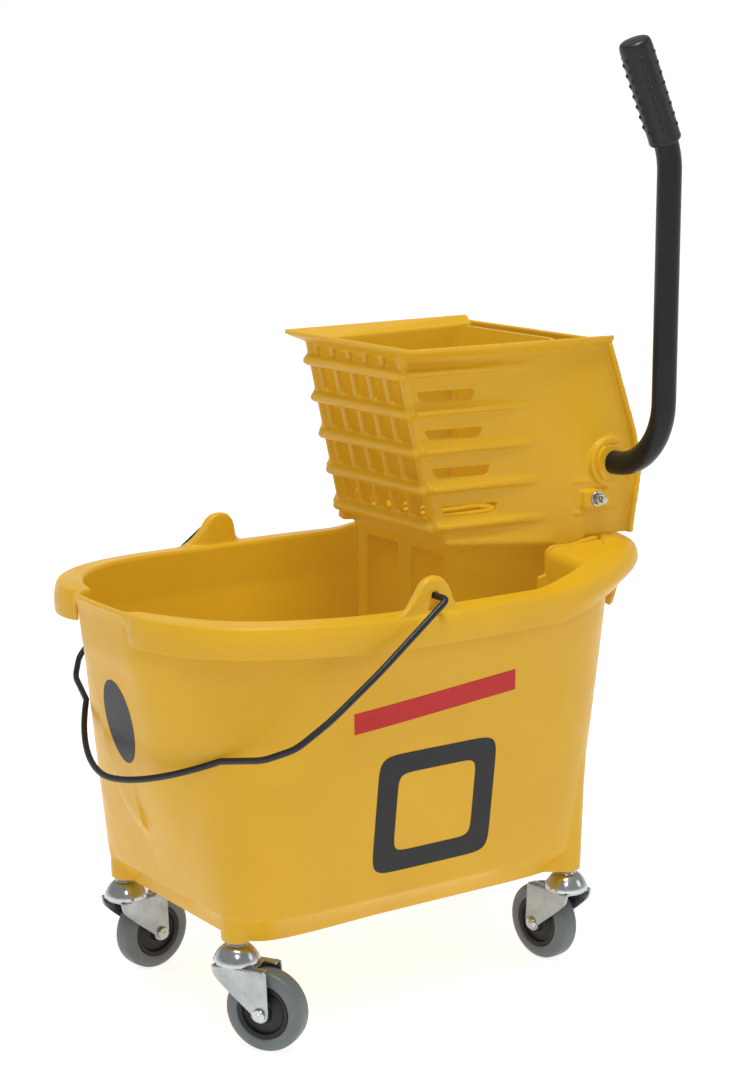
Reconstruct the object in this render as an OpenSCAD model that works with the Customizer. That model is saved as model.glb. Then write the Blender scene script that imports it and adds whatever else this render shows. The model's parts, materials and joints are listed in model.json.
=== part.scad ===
// Mop bucket on four swivel casters, with a side-press wringer hung on its rear wall.
// Frame: +X towards the wringer end, -X the pouring end, -Y the lever's side, +Z up.
// The origin is on the floor, under the middle of the four caster stems. Millimetres.

/* [Bucket] */
// Half length of the rim at the pouring end
rim_front = 268; // [262:1:276]
// Half length of the rim at the wringer end
rim_rear = 274.5; // [270:0.5:278]
// Half width of the rim
rim_half = 197; // [192:1:202]
// Height of the rim's top at the pouring end
rim_z = 398; // [392:1:402]
// How far the rim stands out from the wall
rim_overhang = 24; // [18:1:28]
// How deep the rim is turned down
rim_depth = 32; // [26:1:36]
// Height of the base skirt's lower edge
base_z = 100; // [99:1:102]
// Half width of the body at its foot
base_half = 142; // [136:1:146]
// Wall thickness of the bucket
shell_t = 4; // [3.5:0.5:4.5]
// Stations round the bucket
stations = 144; // [96:24:144]

/* [Bail] */
// Height of the bail's pivots
bail_z = 412; // [410:1:414]
// Place of the bail's pivots along the bucket
bail_x = -26; // [-30:1:-22]
// Wire diameter of the bail
wire_d = 6; // [5:0.5:6.5]
// Angle of the resting bail below level
bail_rest = 36.5; // [36:1:38]

/* [Casters] */
// Wheel diameter
wheel_d = 76.2; // [74:0.2:78]
// Width of the tread
tread_w = 23; // [20:1:24]
// Distance of the axle behind the stem
trail = 30; // [27:1:32]
// Half the wheelbase
stem_x = 183; // [180:1:186]
// Half the front track
stem_y_front = 103; // [101:1:105]
// Half the rear track
stem_y_rear = 123; // [121:1:125]

/* [Wringer] */
// Height of the wringer's top edge
wringer_top = 619; // [615:1:622]
// Half width of the slotted front wall
basket_half = 77; // [75:1:79]
// Wall thickness of the wringer
wringer_t = 4; // [3:0.5:4]
// Rows of windows in the front wall
window_rows = 5; // [4:1:5]
// Columns of windows in the front wall
window_cols = 5; // [4:1:5]

/* [Lever and press] */
// Place of the cross shaft along the bucket
shaft_x = 238; // [237:1:239]
// Height of the cross shaft
shaft_z = 496.5; // [495:0.5:498]
// Tube diameter
tube_d = 23; // [22.2:0.2:25.4]
// Side offset of the lever from the middle
lever_y = 187; // [184:1:188]
// Height of the lever's bend below the grip
bend_z = 775; // [765:1:785]
// Forward lean of the grip
grip_lean = 24.5; // [24:0.5:32]
// Module of the press gears
gear_module = 3.5; // [3.4:0.1:3.5]
// Teeth of a full press gear
gear_teeth = 17; // [17:1:17]

/* [Hidden] */
$fn = 48;
yellow = [0.86, 0.64, 0.12];
black = [0.08, 0.08, 0.09];
steel = [0.75, 0.76, 0.78];
rubber = [0.45, 0.47, 0.48];
fit = 0.05;
eps = 0.01;

// The casters' order is front left, front right, rear left, rear right; left is +Y.
// Each heading is the direction from the stem to the axle, seen from above.
FL = [-stem_x, stem_y_front, 8];
FR = [-stem_x, -stem_y_front, -58];
RL = [stem_x, stem_y_rear, -25];
RR = [stem_x, -stem_y_rear, 96];

// ---- Small helpers ----
function lerp(a, b, t) = a + (b - a) * t;
function clamp01(t) = min(max(t, 0), 1);
function ease(a, b, v) = let (t = clamp01((v - a) / (b - a))) t * t * (3 - 2 * t);
// Radius of a superellipse with half lengths a and b and power n in direction t
function super_r(a, b, n, t) =
  pow(pow(abs(cos(t)) / a, n) + pow(abs(sin(t)) / b, n), -1 / n);

// Closed mesh from rings of points; the first and last ring are capped
module loft(rings) {
  n = len(rings[0]);
  m = len(rings);
  pts = [for (r = rings) for (p = r) p];
  sides = [for (j = [0:m - 2]) for (i = [0:n - 1]) for (h = [0, 1])
    let (a = j * n + i, b = j * n + (i + 1) % n, c = a + n, d = b + n)
    h == 0 ? [a, c, b] : [b, c, d]];
  caps = [[for (i = [0:n - 1]) i], [for (i = [n - 1:-1:0]) (m - 1) * n + i]];
  polyhedron(points = pts, faces = concat(sides, caps), convexity = 10);
}

// Sections of a round wire along a path, carried without twist from a starting normal
function unit(v) = v / norm(v);
function dir_at(p, i) = unit(p[min(i + 1, len(p) - 1)] - p[max(i - 1, 0)]);
function carry(n, d) = unit(n - (n * d) * d);
function normals(p, n0) = [for (i = 0, n = carry(n0, dir_at(p, 0)); i < len(p);
  i = i + 1, n = carry(n, dir_at(p, min(i, len(p) - 1)))) n];
module wire(path, d, n0, sides = 12) {
  ns = normals(path, n0);
  loft([for (i = [0:len(path) - 1])
    let (t = dir_at(path, i), u = ns[i], v = cross(t, u))
    [for (k = [0:sides - 1]) path[i] + d / 2 * (cos(360 * k / sides) * u - sin(360 * k / sides) * v)]]);
}
// Points of an arc of radius r that rounds the corner b of the path a, b, c
function corner(a, b, c, r, steps) =
  let (u = unit(a - b), v = unit(c - b), h = acos(u * v) / 2, s = r / tan(h),
       m = b + unit(u + v) * r / sin(h), p = b + u * s - m, q = b + v * s - m, w = 180 - 2 * h)
  [for (i = [0:steps]) m + (sin(w * (1 - i / steps)) * p + sin(w * i / steps) * q) / sin(w)];

// ---- Bucket ----
wall_top = rim_z - rim_depth;
foot_z = 122;
// Half lengths, half width and powers of the outer wall at height z, widened by off
foot_front = 199;
foot_rear = 207;
rear_step = 8;
function plan(z, off) = let (u = (z - foot_z) / (wall_top - foot_z))
  [lerp(foot_front, rim_front - rim_overhang, u) + off,
   lerp(foot_rear, rim_rear - rim_overhang - rear_step, u) + off,
   lerp(base_half, rim_half - rim_overhang, u) + off, 1 / lerp(1 / 8, 1 / 3, u), 1 / lerp(1 / 8, 1 / 4, u)];
function spout(t) = 1 - (t < 180 ? ease(11, 13.5, 180 - t) : ease(11, 19, t - 180));
function rear(t) = ease(0.5, 0.92, cos(t));
function front(t) = ease(0.3, 0.9, -cos(t));
function grip_lip(t) = 1 - ease(25, 29, min(t, 360 - t));
// How far the rim has rounded off towards the pouring lip
function rim_end(t) = sqrt(1 - 0.8 * pow(min(max((24 - abs(180 - t)) / 12, 0), 1), 2));
function bulge(z, t) = 9 * spout(t) * ease(160, 235, z);
function wall_r(z, off, t) = let (p = plan(z, off))
  super_r(cos(t) < 0 ? p[0] : p[1], p[2], cos(t) < 0 ? p[3] : p[4], t) + bulge(z, t);
function wall_pt(z, off, t, lift = 0) = let (r = wall_r(z, off, t)) [r * cos(t), r * sin(t), z + lift];
function rim_lift(t) = 14 * rear(t) + 3 * front(t);
function mix(a, b, s) = a + (b - a) * s;
// Points of the rim's section: each is an offset from the wall and a drop from the rim's top
function rim_pts(t) = let (s = spout(t), r = rear(t), o = (rim_overhang + rear_step * r) * rim_end(t),
  g = grip_lip(t), e = rim_depth - 3 - 9 * r, d = e + 38 * g, q = 15 * r + 5 * g)
  [for (p = [[[0, -50], [0, -50]], [[0, -7], [4.2, -14]], [[o - 4 - 8 * r, -9], [4.8, -12]],
             [[o - 5 - q, -d], [5.5, -9]], [[o - 1 - q, -d], [6, -7]],
             [[o - 0.5 - 14 * r, 2 - e], [6.6, -6]],
             [[o, 3 * r - 9], [7.2, -4.6]], [[o - 2.5, 8 * r - 2.5], [7, -3]],
             [[o - 8, 12 * r], [6, -2]], [[4, 13.5 * r], [4.5, -1.6]],
             [[0, 13 * r], [3, -1.8]], [[-2.5, 14 * r - 0.5], [1.8, -3]],
             [[-4, 13 * r - 3], [0.8, -6]], [[-shell_t, -45], [-shell_t, -50]]])
    mix(p[0], p[1], s)];
// How far the skirt under the foot is set in: most at the sides, least at the pouring end
function skirt(t) = 14 - 4 * front(t);
function section(t) = let (k = skirt(t)) concat(
  [[0, 0, base_z + 9], wall_pt(base_z + 9, -k - 5.5, t), wall_pt(base_z, -k - 3.5, t), wall_pt(base_z, -k, t),
   wall_pt(base_z + 15, -k * 0.65, t), wall_pt(foot_z, -1.5, t), wall_pt(foot_z + 6, 0, t)],
  [for (z = [150:30:330]) wall_pt(z, 0, t)],
  [for (p = rim_pts(t)) wall_pt(wall_top, 0, t) + p[0] * [cos(t), sin(t), 0]
                        + [0, 0, rim_depth + p[1] + rim_lift(t)]],
  [for (z = [330:-30:150]) wall_pt(z, -shell_t, t)],
  [wall_pt(foot_z + 12, -shell_t - 2, t), wall_pt(foot_z, -shell_t - 10, t), [0, 0, foot_z - 2]]);

module shell() {
  rings = [for (i = [0:stations - 1]) section(360 * i / stations)];
  n = len(rings[0]);
  inner = [for (r = rings) for (k = [1:n - 2]) r[k]];
  w = n - 2;
  low = stations * w;
  faces = concat(
    [for (j = [0:stations - 1]) for (i = [0:w - 2]) for (h = [0, 1])
      let (k = (j + 1) % stations, a = j * w + i, b = a + 1, c = k * w + i, d = c + 1)
      h == 0 ? [a, b, c] : [b, d, c]],
    [for (j = [0:stations - 1]) let (k = (j + 1) % stations) [low, j * w, k * w]],
    [for (j = [0:stations - 1]) let (k = (j + 1) % stations) [low + 1, k * w + w - 1, j * w + w - 1]]);
  polyhedron(points = concat(inner, [rings[0][0], rings[0][n - 1]]), faces = faces, convexity = 12);
}

// A bail ear: a rounded lug that stands up out of the rim, with a wide foot and a blind eye outside
ear_y = 183;
ear_t = 11;
module ear(side) {
  difference() {
    translate([bail_x, side * ear_y + ear_t / 2, 0]) rotate([90, 0, 0]) linear_extrude(ear_t) {
      translate([0, bail_z + 0.5]) circle(17.5);
      polygon([[-17.2, bail_z + 3], [17.2, bail_z + 3], [20, bail_z - 10], [27, rim_z - 26],
               [-45, rim_z - 26], [-29, bail_z - 13], [-20.5, bail_z - 2]]);
    }
    translate([bail_x, side * 188.5 + 7.5, 0]) rotate([90, 0, 0]) linear_extrude(15) {
      translate([0, bail_z]) circle(d = wire_d + 1);
      polygon([[-3, bail_z - 1], [3, bail_z - 1], [7, rim_z - 2], [-8, rim_z - 2]]);
    }
  }
}

// The two inner cheeks at the wringer end that the wringer's side walls stand between
cheek_x = 165;
function side_y(x) = basket_half + (x - 15) * 0.153;
splay = atan(0.153);
module cheek(side) {
  y = side * (side_y(cheek_x) + 3 + 2.5);
  translate([cheek_x, y, 0]) rotate([0, 0, side * splay]) translate([0, 2.5, 0]) rotate([90, 0, 0])
    linear_extrude(5)
      polygon([[0, 330], [0, 414], [6, 420], [30, 420], [50, 425.4], [57, 425.4], [57, 330]]);
  // shelf that runs down from the cheek to the rim, and the wall under its front edge
  intersection() {
    translate([0, 0, 340]) linear_extrude(100) polygon([for (i = [0:stations - 1])
      let (t = 360 * i / stations) wall_r(wall_top, -2.5, t) * [cos(t), sin(t)]]);
    translate([cheek_x, y, 0]) rotate([0, 0, side * splay]) rotate([90, 0, 90]) {
      linear_extrude(66) polygon([[0, 418], [side * 64, 405], [side * 64, 401], [0, 414]]);
      linear_extrude(4) polygon([[0, 352], [side * 64, 352], [side * 64, 404], [0, 417.5]]);
    }
  }
}

module socket(c) {
  translate([c[0], c[1], base_z]) cylinder(r1 = 13.5, r2 = 15, h = 44);
}
module stem_bore(c) {
  translate([c[0], c[1], base_z - 1]) cylinder(r = 5.5 + fit, h = 37);
}

module bucket_shell() color(yellow) difference() {
  union() {
    shell();
    for (side = [-1, 1]) {
      ear(side);
      cheek(side);
    }
    for (c = [FL, FR, RL, RR]) socket(c);
  }
  for (c = [FL, FR, RL, RR]) stem_bore(c);
}

// Bail: eyes through the ears, straight legs, a step in at each corner and a bowed front
bail_dir = [-cos(bail_rest), 0, -sin(bail_rest)];
bail_out = 206;
function bail_at(r, y) = [bail_x, y, bail_z] + r * bail_dir;
module bail_wire() color(black) {
  bow = [for (i = [0:12]) let (y = 124 - 248 * i / 12) bail_at(289 - 60 * pow(abs(y) / 124, 1.75), y)];
  leg = [bail_at(0, 182.5), bail_at(0, bail_out), bail_at(92, bail_out + 3), bail_at(153, bail_out),
         bail_at(190, 197), bail_at(212, 172), bow[0]];
  round_leg = concat([leg[0]], corner(leg[0], leg[1], leg[2], 6, 5), corner(leg[1], leg[2], leg[3], 40, 3),
    corner(leg[2], leg[3], leg[4], 40, 3), corner(leg[3], leg[4], leg[5], 14, 4),
    corner(leg[4], leg[5], leg[6], 14, 3));
  far_leg = [for (i = [len(round_leg) - 1:-1:0]) [round_leg[i][0], -round_leg[i][1], round_leg[i][2]]];
  wire(concat(round_leg, bow, far_leg), wire_d, bail_dir);
}

// ---- Casters ----
wheel_r = wheel_d / 2;
cup_z = base_z - 4;
crown_z = wheel_d + 0.6;
crown_t = 2.6;
ball_r = 2.8;
ball_ring = 13;
race_z = crown_z + crown_t + 2 * ball_r - 0.6;
cap_low = crown_z + crown_t + 0.3;
dome_h = cup_z - cap_low - 2;
module at_stem(c) {
  translate([c[0], c[1], 0]) rotate([0, 0, c[2]]) children();
}
// Stem with its domed cap, the upper race under the cap and the riveted lower end
module stem(c) color(steel) at_stem(c) {
  translate([0, 0, crown_z - 3]) cylinder(r = 5.5, h = base_z + 34 - crown_z + 3);
  translate([0, 0, crown_z - 3]) cylinder(r = 8.5, h = 2.7);
  translate([0, 0, cup_z - 1]) cylinder(r = 8, h = base_z - cup_z + 0.9);
  rotate_extrude() polygon(concat([[0, race_z + 0.2], [0, cup_z]],
    [for (i = [0:6]) [7 + 14.5 * sin(15 * i), cup_z - dome_h + dome_h * cos(15 * i)]],
    [[21.5, cap_low], [20, cap_low], [20, race_z + 1.6], [16.5, race_z + 0.2]]));
}
module balls(c) color(steel) at_stem(c)
  for (i = [0:9]) rotate([0, 0, 36 * i]) translate([ball_ring, 0, crown_z + crown_t + ball_r - 0.5])
    sphere(r = ball_r, $fn = 20);
leg_gap = 15;
leg_t = 2.3;
module fork_leg() {
  difference() {
    union() {
      translate([trail, wheel_r]) circle(9);
      polygon([[-13, crown_z + crown_t], [19, crown_z + crown_t], [trail + 8.6, wheel_r + 3],
               [trail - 8, wheel_r - 4], [3, 64]]);
    }
    translate([trail, wheel_r]) circle(4 + fit);
  }
}
module fork(c) color(steel) at_stem(c) {
  difference() {
    union() {
      translate([0, 0, crown_z]) cylinder(r = 18.6, h = crown_t);
      translate([-13, -leg_gap - leg_t, crown_z]) cube([32, 2 * (leg_gap + leg_t), crown_t]);
    }
    translate([0, 0, crown_z - 1]) cylinder(r = 5.5 + fit, h = 20);
    rotate_extrude() translate([ball_ring, crown_z + crown_t + ball_r - 0.5]) circle(ball_r + 0.1);
  }
  for (s = [-1, 1]) translate([0, s * (leg_gap + leg_t / 2) + leg_t / 2, 0]) rotate([90, 0, 0])
    linear_extrude(leg_t) fork_leg();
}
module along_axle(c) at_stem(c) translate([trail, 0, wheel_r]) rotate([90, 0, 0]) children();
module axle(c) color(steel) along_axle(c) {
  w = leg_gap + leg_t;
  translate([0, 0, -w - 4]) cylinder(r = 4, h = 2 * w + 8);
  translate([0, 0, w]) cylinder(r = 6.5, h = 3.2, $fn = 6);
  translate([0, 0, -w - 3.5]) cylinder(r1 = 5, r2 = 6.5, h = 3.5);
}
hub_r = 25;
module hub(c) color(black) along_axle(c) rotate_extrude() polygon([[4.08, -14], [8, -14], [9, -8],
  [20, -7], [21, -10.5], [hub_r, -10.5], [hub_r, 10.5], [21, 10.5], [20, 7], [9, 8], [8, 14], [4.08, 14]]);
module tyre(c) color(rubber) along_axle(c) rotate_extrude($fn = 72) polygon(concat(
  [[hub_r, tread_w / 2 - 1], [hub_r, -tread_w / 2 + 1], [hub_r + 1, -tread_w / 2]],
  [for (i = [0:5]) [wheel_r - 5 + 5 * sin(18 * i), -tread_w / 2 + 5 - 5 * cos(18 * i)]],
  [for (i = [5:-1:0]) [wheel_r - 5 + 5 * sin(18 * i), tread_w / 2 - 5 + 5 * cos(18 * i)]],
  [[hub_r + 1, tread_w / 2]]));

// ---- Wringer ----
front_x = 15;
front_z = wringer_top - 8;
floor_z = 442;
front_slope = atan(40 / (front_z - floor_z));
front_h = (front_z - floor_z) / cos(front_slope);
boss_y = 114;
lip_x = 236;
// The side wall's outline in the XZ plane, and the same plane splayed outwards to the rear
module on_side(side, off = 0) {
  translate([front_x, side * (basket_half + off), 0]) rotate([0, 0, side * splay])
    translate([-front_x, 0, 0]) rotate([90, 0, 0]) children();
}
seat_z = rim_z + 27.7;
rear_edge = [[265, seat_z], [274, 490], [267, 524], [lip_x + 2, front_z]];
module side_outline() {
  polygon(concat([[front_x, front_z], [front_x + 40, floor_z], [60, floor_z - 12], [180, 425], [184, 392],
                  [214, 392], [214, seat_z]], rear_edge));
}
module side_slots() {
  for (i = [0:3]) let (z = 573 - 36.5 * i, x = 30 + 8.5 * i) translate([x, z])
    polygon([[1, 3], [61, 3], [62, 2], [59, -5.5], [57, -6.5], [9, -6.5], [7, -5.5], [0, 2]]);
}
module side_wall(side) {
  t = side > 0 ? 0 : -wringer_t;
  difference() {
    on_side(side) translate([0, 0, t]) linear_extrude(wringer_t) side_outline();
    on_side(side) translate([0, 0, -10]) linear_extrude(20) side_slots();
  }
  // ribs that run back from the front wall's ribs and fade into the wall
  for (i = [0:4]) let (z = 593.5 - 36.5 * i, x = 19 + 8.7 * i) on_side(side)
    translate([x, z, 0]) rotate([90, 0, 0]) linear_extrude(5, center = true)
      polygon([[0, 0], [0, -side * 9], [10, -side * 9], [140 - 5 * i, 0]]);
  // outward rib down the rear edge
  on_side(side) translate([0, 0, side > 0 ? -7 : 0]) linear_extrude(7)
    polygon(concat(rear_edge, [for (i = [3:-1:0]) rear_edge[i] - [5, 0]]));
}
window_pitch = 27.6;
rib_side = 4;
module front_wall() {
  rows = 36.5 / cos(front_slope);
  translate([front_x, 0, front_z]) rotate([0, -front_slope, 0]) {
    difference() {
      translate([0, -basket_half, -front_h]) cube([wringer_t, 2 * basket_half, front_h]);
      for (r = [0:window_rows - 1]) for (c = [0:window_cols - 1])
        let (top = r == 0 ? -6 : -22 - rows * (r - 1) - 4, h = r == 0 ? 10 : 25)
        translate([-5, (c - (window_cols - 1) / 2) * window_pitch - 10, top - h]) cube([20, 20, h]);
    }
    // deep bars between the columns of windows
    for (c = [0:window_cols]) let (y = (c - window_cols / 2) * window_pitch)
      translate([wringer_t - 1, y - 2, 4 - front_h]) cube([8, 4, front_h - 6]);
    for (r = [0:4]) translate([0, 0, -19.5 - rows * r]) {
      translate([-6, -basket_half - rib_side, -3]) cube([7, 2 * (basket_half + rib_side), 6]);
      translate([-6, 0, 0]) rotate([90, 0, 0])
        cylinder(r = 3, h = 2 * (basket_half + rib_side), center = true, $fn = 24);
    }
  }
}
// The sloping lip round the top: front and both sides, open at the rear
lip_t = 4;
module lip_bar(p, q) {
  // a thin slice of the lip between its inner point p and its outer point q
  for (v = [[p, front_z - lip_t], [q, wringer_top - lip_t]])
    translate([v[0][0], v[0][1], v[1]]) cylinder(r = 0.5, h = lip_t, $fn = 16);
}
module top_lip() {
  inner = [[front_x + 2, basket_half - 2], [lip_x, side_y(lip_x) - 2]];
  outer = [[front_x - 9, basket_half + 28], [lip_x, side_y(lip_x) + 6]];
  flip = [[1, 0], [0, -1]];
  for (m = [[[1, 0], [0, 1]], flip]) hull() {
    lip_bar(inner[0] * m, outer[0] * m);
    lip_bar(inner[1] * m, outer[1] * m);
  }
  hull() {
    lip_bar(inner[0], outer[0]);
    lip_bar(inner[0] * flip, outer[0] * flip);
  }
}
// Slotted floor under the basket and the ledge that carries it
module basket_floor() {
  difference() {
    union() {
      translate([54, -82, floor_z - 4]) cube([130, 164, 4]);
      translate([72, -82, floor_z - 20]) cube([112, 164, 17]);
    }
    translate([79, -76, floor_z - 21]) cube([99, 152, 17.5]);
    for (i = [0:4]) translate([84, -60 + 26 * i, floor_z - 10]) cube([88, 14, 20]);
  }
}
// Open drain frame that reaches down into the bucket
frame_low = 285;
module drain_frame() {
  difference() {
    translate([75, -80, frame_low]) cube([109, 160, floor_z - 16 - frame_low]);
    translate([79, -76, frame_low - 1]) cube([101, 152, 200]);
    for (s = [-1, 1]) translate([70, s * 38 - 27, frame_low + 18]) cube([12, 54, 112]);
    translate([176, -60, frame_low + 20]) cube([12, 120, 95]);
  }
}
module rear_frame() {
  slope = atan((rear_edge[2][0] - lip_x - 2) / (front_z - 524));
  // upper cross panel between the side walls, notched where the racks slide through
  translate([lip_x - 2, 0, front_z + 3]) rotate([0, -slope, 0]) difference() {
    translate([-2, -110, -96]) cube([4, 220, 96]);
    for (s = [-1, 1]) translate([-5, s * rack_y - 9, -110]) cube([10, 18, 42]);
  }
  // lower cross panel with the ledge that rests on the bucket's rear wall
  translate([224, -80, 392]) cube([4, 160, 42]);
  translate([224, -109, seat_z]) cube([4, 218, 36]);
  translate([224, -109, seat_z]) cube([34, 218, 4]);
}
module shaft_boss(side) {
  translate([shaft_x, side * boss_y, shaft_z]) rotate([90 * side, 0, 0]) cylinder(r = 24, h = 10);
}
anchor_x = 221;
anchor_z = 462;
module anchor_boss(side) {
  translate([anchor_x + 2, side * (boss_y - 4), anchor_z]) cube([34, 8, 17], center = true);
}
module wringer_body() color(yellow) difference() {
  union() {
    front_wall();
    top_lip();
    basket_floor();
    drain_frame();
    rear_frame();
    for (side = [-1, 1]) {
      side_wall(side);
      shaft_boss(side);
      anchor_boss(side);
    }
  }
  translate([shaft_x, 0, shaft_z]) rotate([90, 0, 0]) cylinder(r = 16 + fit, h = 260, center = true);
  translate([anchor_x, 0, anchor_z]) rotate([90, 0, 0]) cylinder(r = 3 + fit, h = 260, center = true);
}

module bush(side) color(yellow) translate([shaft_x, side * boss_y, shaft_z]) rotate([-90 * side, 0, 0])
  difference() {
    union() {
      translate([0, 0, -12]) cylinder(r = 16, h = 12 + eps);
      intersection() {
        cylinder(r = 19, h = 4);
        cube([60, 32, 20], center = true);
      }
    }
    translate([0, 0, -20]) cylinder(r = tube_d / 2 + fit, h = 40);
  }

module per_side(y) {
  for (s = [-1, 1]) translate([anchor_x, s * y, anchor_z]) rotate([-90 * s, 0, 0]) children();
}
anchor_y = boss_y;
module anchor_bolts() color(steel) per_side(anchor_y - 10) {
  translate([0, 0, -8]) cylinder(r = 3, h = 30);
  translate([0, 0, -8]) cylinder(r = 5.5, h = 4, $fn = 6);
}
module anchor_washers() color(steel) per_side(anchor_y) difference() {
  cylinder(r = 7.5, h = 1.6);
  translate([0, 0, -1]) cylinder(r = 3 + fit, h = 4);
}
module anchor_nuts() color(steel) per_side(anchor_y + 1.6) difference() {
  cylinder(r = 6, h = 5, $fn = 6);
  translate([0, 0, -1]) cylinder(r = 3 + fit, h = 8);
}

// ---- Press plate ----
plate_x = 196;
plate_half = 88;
plate_low = floor_z + 5;
plate_top = 614;
module plate_outline(grow = 0) {
  r = 24;
  w = plate_half + grow;
  hull() {
    for (s = [-1, 1]) {
      translate([s * (w - r), plate_top - r]) circle(r);
      translate([s * (w - 6), plate_low + 6]) circle(6);
    }
  }
}
module press_plate() color(yellow) {
  translate([plate_x, 0, 0]) rotate([90, 0, 90]) linear_extrude(4) plate_outline();
  // pressing ribs on the front, stiffening ribs on the back
  for (i = [-3:3]) translate([plate_x - 4, i * 24 - 2, plate_low + 6]) cube([4 + eps, 4, 140]);
  for (z = [465, 505, 575]) translate([plate_x + 4 - eps, -76, z]) cube([3, 152, 4]);
  // pads that the racks are screwed to
  for (s = [-1, 1]) translate([plate_x + 4 - eps, s * rack_y - 10, rack_z]) cube([4, 20, 24]);
}

// ---- Gears ----
pitch_r = gear_module * gear_teeth / 2;
pitch_z = shaft_z + pitch_r;
rack_y = 58;
rack_w = 12;
rack_z = pitch_z + 5;
base_r = pitch_r * cos(20);
tip_r = pitch_r + 0.9 * gear_module;
root_r = pitch_r - 1.2 * gear_module;
function inv(a) = tan(a) * 180 / PI - a;
// Half angle of a tooth at radius r, with a little backlash
function half_tooth(r) = 90 / gear_teeth - 0.35 + inv(20) - inv(acos(min(base_r / r, 1)));
function tooth(a) = concat(
  [for (r = [root_r, base_r, pitch_r, tip_r]) r * [cos(a - half_tooth(max(r, base_r))),
                                                   sin(a - half_tooth(max(r, base_r)))]],
  [for (r = [tip_r, pitch_r, base_r, root_r]) r * [cos(a + half_tooth(max(r, base_r))),
                                                   sin(a + half_tooth(max(r, base_r)))]]);
pitch_a = 360 / gear_teeth;
hub_clamp_r = 18;
// A sector with teeth from just past the mesh point back to the trailing edge, and a clamping hub
module sector_2d() {
  first = -1;
  last = 5;
  for (i = [first:last]) polygon(tooth(90 - i * pitch_a));
  polygon(concat([[0, 0]], [for (k = [0:20])
    let (a = 90 - (first - 0.4) * pitch_a - k / 20 * (last - first + 0.8) * pitch_a)
    (root_r + 0.3) * [cos(a), sin(a)]]));
  circle(hub_clamp_r);
}
module sectors() color(black) for (s = [-1, 1]) translate([shaft_x, s * rack_y, shaft_z])
  rotate([90, 0, 0]) difference() {
    union() {
      linear_extrude(10, center = true) sector_2d();
      cylinder(r = hub_clamp_r, h = 22, center = true);
    }
    cylinder(r = tube_d / 2, h = 40, center = true);
    rotate([0, 90, 0]) cylinder(r = 2.5 + fit, h = 60, center = true);
  }
module sector_pins() color(steel) for (s = [-1, 1]) translate([shaft_x, s * rack_y, shaft_z])
  rotate([0, 90, 0]) cylinder(r = 2.5, h = 44, center = true);

// A straight rack above each sector, with its teeth downwards and in mesh at rest
rack_pitch = PI * gear_module;
rack_teeth = 6;
module rack_2d() {
  foot = pitch_z + gear_module * 1.1;
  tip = pitch_z - gear_module * 0.85;
  g = 0.35;
  w = rack_pitch / 4 - g / 2;
  lean = tan(20);
  translate([plate_x + 8, foot]) square([shaft_x + (rack_teeth - 1.2) * rack_pitch - plate_x - 8, 12]);
  for (i = [-1:rack_teeth - 2]) translate([shaft_x + (i + 0.5) * rack_pitch, 0])
    polygon([[-w - (foot - pitch_z) * lean, foot + eps], [-w + (pitch_z - tip) * lean, tip],
             [w - (pitch_z - tip) * lean, tip], [w + (foot - pitch_z) * lean, foot + eps]]);
}
module racks() color(black) for (s = [-1, 1]) translate([0, s * rack_y + rack_w / 2, 0]) difference() {
  union() {
    rotate([90, 0, 0]) linear_extrude(rack_w) rack_2d();
    translate([plate_x + 8, -rack_w / 2 - 10, rack_z]) cube([5, 20, 24]);
  }
  for (z = [19]) translate([plate_x, -rack_w / 2, rack_z + z]) rotate([0, 90, 0]) cylinder(r = 2.1, h = 20);
}
module rack_screws() color(steel) for (s = [-1, 1]) translate([plate_x + 13, s * rack_y, rack_z + 19])
  rotate([0, 90, 0]) {
    cylinder(r1 = 4, r2 = 3, h = 2.6);
    translate([0, 0, -5]) cylinder(r = 2.05, h = 5.1);
  }

// ---- Lever ----
bend_r = 66;
bend_y = lever_y - bend_r;
grip_bend_r = 70;
grip_len = 98;
module lever_solid(d) {
  r = d / 2;
  translate([shaft_x, -bend_y, shaft_z]) rotate([-90, 0, 0]) cylinder(r = r, h = bend_y + boss_y + 12);
  translate([shaft_x, -bend_y, shaft_z + bend_r]) rotate([0, 90, 0]) rotate([0, 0, -90])
    rotate_extrude(angle = 90) translate([bend_r, 0]) circle(r);
  translate([shaft_x, -lever_y, shaft_z + bend_r]) cylinder(r = r, h = bend_z - shaft_z - bend_r);
  translate([shaft_x - grip_bend_r, -lever_y, bend_z]) {
    rotate([90, 0, 0]) rotate_extrude(angle = grip_lean) translate([grip_bend_r, 0]) circle(r);
    // the straight end, with a fine swaged ring at the end of the bend, under the grip
    rotate([0, -grip_lean, 0]) translate([grip_bend_r, 0, 0]) {
      cylinder(r = r, h = grip_len - 6);
      translate([0, 0, -0.5]) cylinder(r = r + 0.2, h = 1);
    }
  }
}
module handle_tube() color(black) difference() {
  lever_solid(tube_d);
  lever_solid(tube_d - 4.2);
  for (s = [-1, 1]) translate([shaft_x, s * rack_y, shaft_z]) rotate([0, 90, 0])
    cylinder(r = 2.5 + fit, h = 60, center = true);
  translate([shaft_x, boss_y + 7, shaft_z - 20]) cylinder(r = 1.7, h = 40);
}
module at_grip() {
  translate([shaft_x - grip_bend_r, -lever_y, bend_z]) rotate([0, -grip_lean, 0])
    translate([grip_bend_r, 0, 0]) children();
}
module grip() color(black) at_grip() difference() {
  rotate_extrude() polygon(concat([[0, -2], [14.4, -2], [15.6, 1], [15.6, grip_len - 8]],
    [for (i = [1:5]) [5.6 + 10 * cos(18 * i), grip_len - 8 + 8 * sin(18 * i)]], [[0, grip_len]]));
  translate([0, 0, -3]) cylinder(r = tube_d / 2 + fit, h = grip_len - 3);
}
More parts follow.
